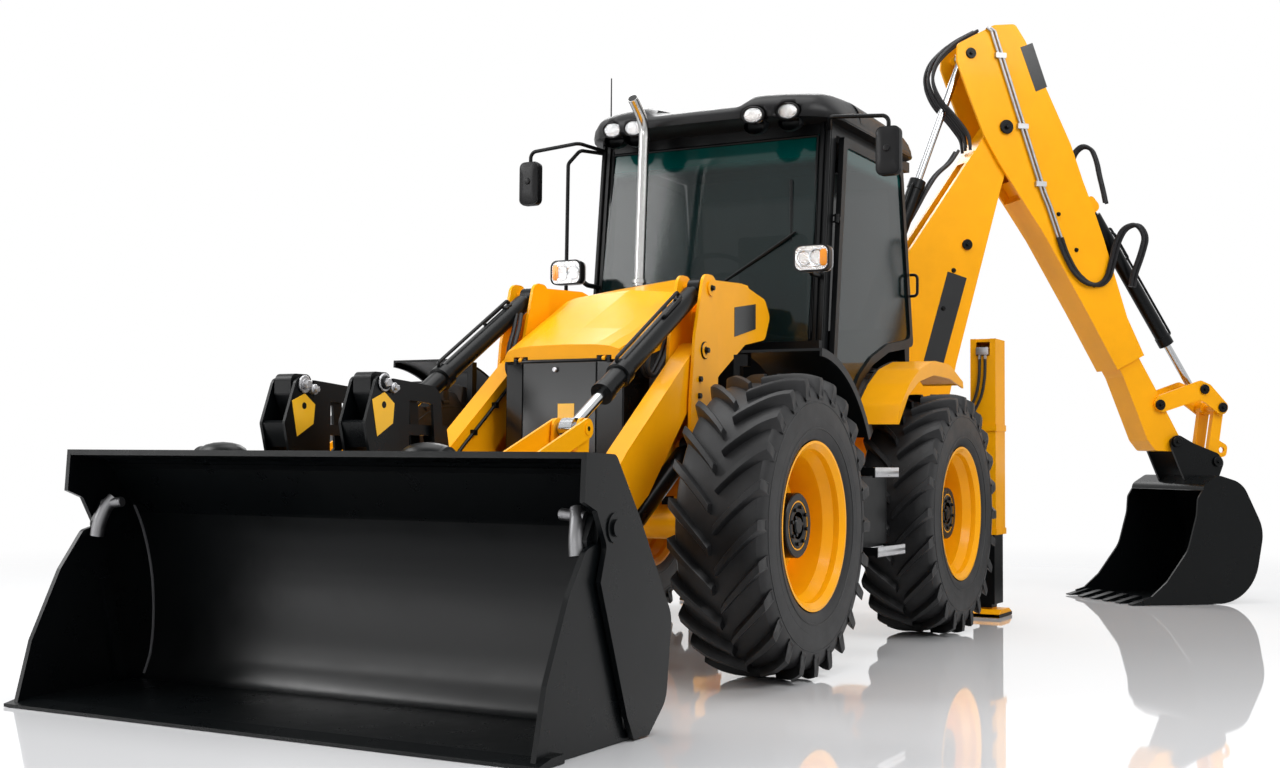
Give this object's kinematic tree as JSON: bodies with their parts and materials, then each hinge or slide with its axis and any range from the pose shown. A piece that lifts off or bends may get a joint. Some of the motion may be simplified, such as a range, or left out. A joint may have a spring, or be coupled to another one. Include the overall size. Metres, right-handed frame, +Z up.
{
  "type": "backhoe loader",
  "caption": "Wheeled construction machine with a clam front bucket on lift arms and a slewing, side-shifting backhoe with an extending dipper.",
  "frame": {"origin": "on the ground under the middle of the machine's bounding box", "axes": "+X forward, +Y to the machine's left, +Z up"},
  "size_m": [8.3029, 3.6767, 4.0924],
  "materials": {
    "black_paint": "semi-gloss black enamel",
    "cast_grey": "rough casting",
    "chrome_rod": "polished hard chrome",
    "dark_plastic": "moulded black plastic",
    "exhaust_chrome": "bright exhaust tube",
    "lamp_lens": "clear lens",
    "machine_yellow": "semi-gloss yellow enamel",
    "seat_fabric": "dark woven cloth",
    "tinted_glass": "dark tinted glass",
    "tyre_rubber": "tyre rubber"
  },
  "bodies": {
    "chassis": {"chassis_frame": "machine_yellow", "engine_block": "cast_grey", "axles": "machine_yellow", "side_panels": "machine_yellow", "grille": "black_paint", "rear_fenders": "machine_yellow", "tank_and_steps": "black_paint", "cab_frame": "black_paint", "cab_roof": "black_paint", "cab_glass": "tinted_glass", "cab_controls": "dark_plastic", "seat_cushions": "seat_fabric", "exhaust": "exhaust_chrome", "lamps": "lamp_lens", "rear_frame": "machine_yellow"},
    "bonnet": {"bonnet": "machine_yellow"},
    "door_left": {"door_left": "black_paint", "door_left_glass": "tinted_glass"},
    "door_right": {"door_right": "black_paint", "door_right_glass": "tinted_glass"},
    "stabiliser_left": {"stabiliser_left": "black_paint"},
    "stabiliser_right": {"stabiliser_right": "black_paint"},
    "knuckle_front_left": {"knuckle_front_left": "black_paint"},
    "wheel_front_left": {"rim_front_left": "machine_yellow", "tyre_front_left": "tyre_rubber"},
    "knuckle_front_right": {"knuckle_front_right": "black_paint"},
    "wheel_front_right": {"rim_front_right": "machine_yellow", "tyre_front_right": "tyre_rubber"},
    "knuckle_rear_left": {"knuckle_rear_left": "black_paint"},
    "wheel_rear_left": {"rim_rear_left": "machine_yellow", "tyre_rear_left": "tyre_rubber"},
    "knuckle_rear_right": {"knuckle_rear_right": "black_paint"},
    "wheel_rear_right": {"rim_rear_right": "machine_yellow", "tyre_rear_right": "tyre_rubber"},
    "loader_arms": {"loader_arms": "machine_yellow"},
    "lift_ram_barrels": {"lift_ram_barrels": "machine_yellow"},
    "lift_ram_rods": {"lift_ram_rods": "chrome_rod"},
    "tilt_ram_barrels": {"tilt_ram_barrels": "black_paint"},
    "tilt_ram_rods": {"tilt_ram_rods": "chrome_rod"},
    "bellcranks": {"bellcranks": "machine_yellow"},
    "bucket_links": {"bucket_links": "machine_yellow"},
    "front_bucket": {"front_bucket": "black_paint"},
    "clam_jaw": {"clam_jaw": "black_paint"},
    "flip_forks": {"flip_forks": "black_paint"},
    "sideshift_carriage": {"sideshift_carriage": "machine_yellow"},
    "kingpost": {"kingpost": "machine_yellow"},
    "boom": {"boom": "machine_yellow"},
    "boom_ram_barrel": {"boom_ram_barrel": "black_paint"},
    "boom_ram_rod": {"boom_ram_rod": "chrome_rod"},
    "dipper": {"dipper": "machine_yellow", "dipper_pipes": "black_paint"},
    "dipper_ram_barrel": {"dipper_ram_barrel": "black_paint"},
    "dipper_ram_rod": {"dipper_ram_rod": "chrome_rod"},
    "inner_dipper": {"inner_dipper": "machine_yellow"},
    "tipping_lever": {"tipping_lever": "machine_yellow"},
    "bucket_link": {"bucket_link": "machine_yellow"},
    "bucket_ram_barrel": {"bucket_ram_barrel": "black_paint"},
    "bucket_ram_rod": {"bucket_ram_rod": "chrome_rod"},
    "backhoe_bucket": {"backhoe_bucket": "black_paint"}
  },
  "joints": [
    {"name": "steer_front_left", "type": "hinge", "parent": "chassis", "child": "knuckle_front_left", "pos_m": [1.81547, 0.11764, 0.685], "axis": [0, 0, 1], "range_deg": [-20, 20]},
    {"name": "roll_front_left", "type": "hinge", "parent": "knuckle_front_left", "child": "wheel_front_left", "pos_m": [1.81547, 0.39764, 0.685], "axis": [0, 1, 0], "continuous": true},
    {"name": "steer_front_right", "type": "hinge", "parent": "chassis", "child": "knuckle_front_right", "pos_m": [1.81547, -1.32236, 0.685], "axis": [0, 0, 1], "range_deg": [-20, 20]},
    {"name": "roll_front_right", "type": "hinge", "parent": "knuckle_front_right", "child": "wheel_front_right", "pos_m": [1.81547, -1.60236, 0.685], "axis": [0, 1, 0], "continuous": true},
    {"name": "steer_rear_left", "type": "hinge", "parent": "chassis", "child": "knuckle_rear_left", "pos_m": [-0.40253, 0.11764, 0.685], "axis": [0, 0, 1], "range_deg": [-20, 20]},
    {"name": "roll_rear_left", "type": "hinge", "parent": "knuckle_rear_left", "child": "wheel_rear_left", "pos_m": [-0.40253, 0.39764, 0.685], "axis": [0, 1, 0], "continuous": true},
    {"name": "steer_rear_right", "type": "hinge", "parent": "chassis", "child": "knuckle_rear_right", "pos_m": [-0.40253, -1.32236, 0.685], "axis": [0, 0, 1], "range_deg": [-20, 20]},
    {"name": "roll_rear_right", "type": "hinge", "parent": "knuckle_rear_right", "child": "wheel_rear_right", "pos_m": [-0.40253, -1.60236, 0.685], "axis": [0, 1, 0], "continuous": true},
    {"name": "lift", "type": "hinge", "parent": "chassis", "child": "loader_arms", "pos_m": [1.64746, -0.60236, 1.5], "axis": [0, -1, 0], "range_deg": [-3, 85]},
    {"name": "lift_ram_swing", "type": "hinge", "parent": "chassis", "child": "lift_ram_barrels", "pos_m": [1.65746, -0.60236, 1.04], "axis": [0, -1, 0], "range_deg": [-3.38, 82.22]},
    {"name": "lift_ram_stroke", "type": "slide", "parent": "lift_ram_barrels", "child": "lift_ram_rods", "axis": [0.8448, 0, -0.5351], "range_m": [-0.02578, 0.621]},
    {"name": "tilt_ram_swing", "type": "hinge", "parent": "chassis", "child": "tilt_ram_barrels", "pos_m": [1.58746, -0.60236, 1.805], "axis": [0, -1, 0], "range_deg": [-3.5, 85.64]},
    {"name": "tilt_ram_stroke", "type": "slide", "parent": "tilt_ram_barrels", "child": "tilt_ram_rods", "axis": [0.8565, 0, -0.5161], "range_m": [-0.21763, 0.68642]},
    {"name": "tip", "type": "hinge", "parent": "loader_arms", "child": "front_bucket", "pos_m": [3.16746, -0.60236, 0.33], "axis": [0, 1, 0], "range_deg": [-36, 115]},
    {"name": "bellcrank_swing", "type": "hinge", "parent": "loader_arms", "child": "bellcranks", "pos_m": [2.79746, -0.60236, 0.55], "axis": [0, 1, 0], "range_deg": [-33.62, 106.3]},
    {"name": "bucket_link_swing", "type": "hinge", "parent": "bellcranks", "child": "bucket_links", "pos_m": [2.75746, -0.60236, 1.1], "axis": [0, 1, 0], "range_deg": [-60.3, 19.22]},
    {"name": "clam", "type": "hinge", "parent": "front_bucket", "child": "clam_jaw", "pos_m": [3.68746, -0.60236, 0.74], "axis": [0, -1, 0], "range_deg": [0, 75]},
    {"name": "fork_flip", "type": "hinge", "parent": "front_bucket", "child": "flip_forks", "pos_m": [3.71746, -0.60236, 1.25], "axis": [0, -1, 0], "range_deg": [-180, 0]},
    {"name": "bonnet_lift", "type": "hinge", "parent": "chassis", "child": "bonnet", "pos_m": [2.04346, -0.60236, 1.445], "axis": [0, 1, 0], "range_deg": [0, 60]},
    {"name": "door_left_swing", "type": "hinge", "parent": "chassis", "child": "door_left", "pos_m": [0.51946, 0.13864, 1.19], "axis": [0.1053, 0, -0.9944], "range_deg": [0, 80]},
    {"name": "door_right_swing", "type": "hinge", "parent": "chassis", "child": "door_right", "pos_m": [0.51946, -1.34336, 1.19], "axis": [-0.1053, 0, 0.9944], "range_deg": [0, 80]},
    {"name": "stabiliser_left_slide", "type": "slide", "parent": "chassis", "child": "stabiliser_left", "axis": [0, 0, 1], "range_m": [-0.15, 0.38]},
    {"name": "stabiliser_right_slide", "type": "slide", "parent": "chassis", "child": "stabiliser_right", "axis": [0, 0, 1], "range_m": [-0.15, 0.38]},
    {"name": "sideshift", "type": "slide", "parent": "chassis", "child": "sideshift_carriage", "axis": [0, -1, 0], "range_m": [-0.55, 0.55]},
    {"name": "slew", "type": "hinge", "parent": "sideshift_carriage", "child": "kingpost", "pos_m": [-1.83254, -0.60236, 1], "axis": [0, 0, 1], "range_deg": [-43, 137]},
    {"name": "boom_lift", "type": "hinge", "parent": "kingpost", "child": "boom", "pos_m": [-2.0917, -0.32445, 0.75], "axis": [-0.7314, -0.682, 0], "range_deg": [-8, 108]},
    {"name": "boom_ram_swing", "type": "hinge", "parent": "kingpost", "child": "boom_ram_barrel", "pos_m": [-1.96212, -0.4634, 1.18], "axis": [-0.7314, -0.682, 0], "range_deg": [-8.18, 104.2]},
    {"name": "boom_ram_stroke", "type": "slide", "parent": "boom_ram_barrel", "child": "boom_ram_rod", "axis": [-0.2852, 0.3058, 0.9084], "range_m": [-0.05946, 0.7527]},
    {"name": "dipper_swing", "type": "hinge", "parent": "boom", "child": "dipper", "pos_m": [-2.57591, 0.19481, 3.35], "axis": [0.7314, 0.682, 0], "range_deg": [-15, 105]},
    {"name": "dipper_ram_swing", "type": "hinge", "parent": "boom", "child": "dipper_ram_barrel", "pos_m": [-1.84617, -0.58773, 1.74], "axis": [0.7314, 0.682, 0], "range_deg": [-7.83, 1.55]},
    {"name": "dipper_ram_stroke", "type": "slide", "parent": "dipper_ram_barrel", "child": "dipper_ram_rod", "axis": [-0.2408, 0.2582, 0.9356], "range_m": [-0.89134, 0.13076]},
    {"name": "extend", "type": "slide", "parent": "dipper", "child": "inner_dipper", "axis": [-0.3517, 0.3771, -0.8568], "range_m": [0, 1.1]},
    {"name": "curl", "type": "hinge", "parent": "inner_dipper", "child": "backhoe_bucket", "pos_m": [-3.48297, 1.16752, 1.14], "axis": [-0.7314, -0.682, 0], "range_deg": [-60, 100]},
    {"name": "lever_swing", "type": "hinge", "parent": "inner_dipper", "child": "tipping_lever", "pos_m": [-3.40113, 1.07975, 1.405], "axis": [-0.7314, -0.682, 0], "range_deg": [-38.3, 63.5]},
    {"name": "tipping_link_swing", "type": "hinge", "parent": "tipping_lever", "child": "bucket_link", "pos_m": [-3.75236, 1.4564, 1.395], "axis": [-0.7314, -0.682, 0], "range_deg": [-18.5, 11.3]},
    {"name": "bucket_ram_swing", "type": "hinge", "parent": "inner_dipper", "child": "bucket_ram_barrel", "pos_m": [-3.07377, 0.7287, 2.84], "axis": [-0.7314, -0.682, 0], "range_deg": [-3.9, 6.17]},
    {"name": "bucket_ram_stroke", "type": "slide", "parent": "bucket_ram_barrel", "child": "bucket_ram_rod", "axis": [-0.3687, 0.3954, -0.8413], "range_m": [-0.20192, 0.33387]}
  ],
  "couplings": [
    {"joint": "steer_front_right", "follows": "steer_front_left", "ratio": 1},
    {"joint": "steer_rear_right", "follows": "steer_rear_left", "ratio": 1},
    {"joint": "lift_ram_swing", "follows": "lift", "ratio": 0.9614},
    {"joint": "lift_ram_stroke", "follows": "lift", "m_per_rad": 0.4159},
    {"joint": "tilt_ram_swing", "follows": "lift", "ratio": 1.0016},
    {"joint": "tilt_ram_stroke", "follows": "tip", "m_per_rad": 0.34},
    {"joint": "bellcrank_swing", "follows": "tip", "ratio": 0.92},
    {"joint": "bucket_link_swing", "follows": "tip", "ratio": -0.52},
    {"joint": "boom_ram_swing", "follows": "boom_lift", "ratio": 0.9602},
    {"joint": "boom_ram_stroke", "follows": "boom_lift", "m_per_rad": 0.3972},
    {"joint": "dipper_ram_swing", "follows": "dipper_swing", "ratio": -0.0698},
    {"joint": "dipper_ram_stroke", "follows": "dipper_swing", "m_per_rad": -0.4842},
    {"joint": "lever_swing", "follows": "curl", "ratio": 0.63},
    {"joint": "tipping_link_swing", "follows": "curl", "ratio": -0.18},
    {"joint": "bucket_ram_swing", "follows": "curl", "ratio": 0.0567},
    {"joint": "bucket_ram_stroke", "follows": "curl", "m_per_rad": 0.189}
  ]
}
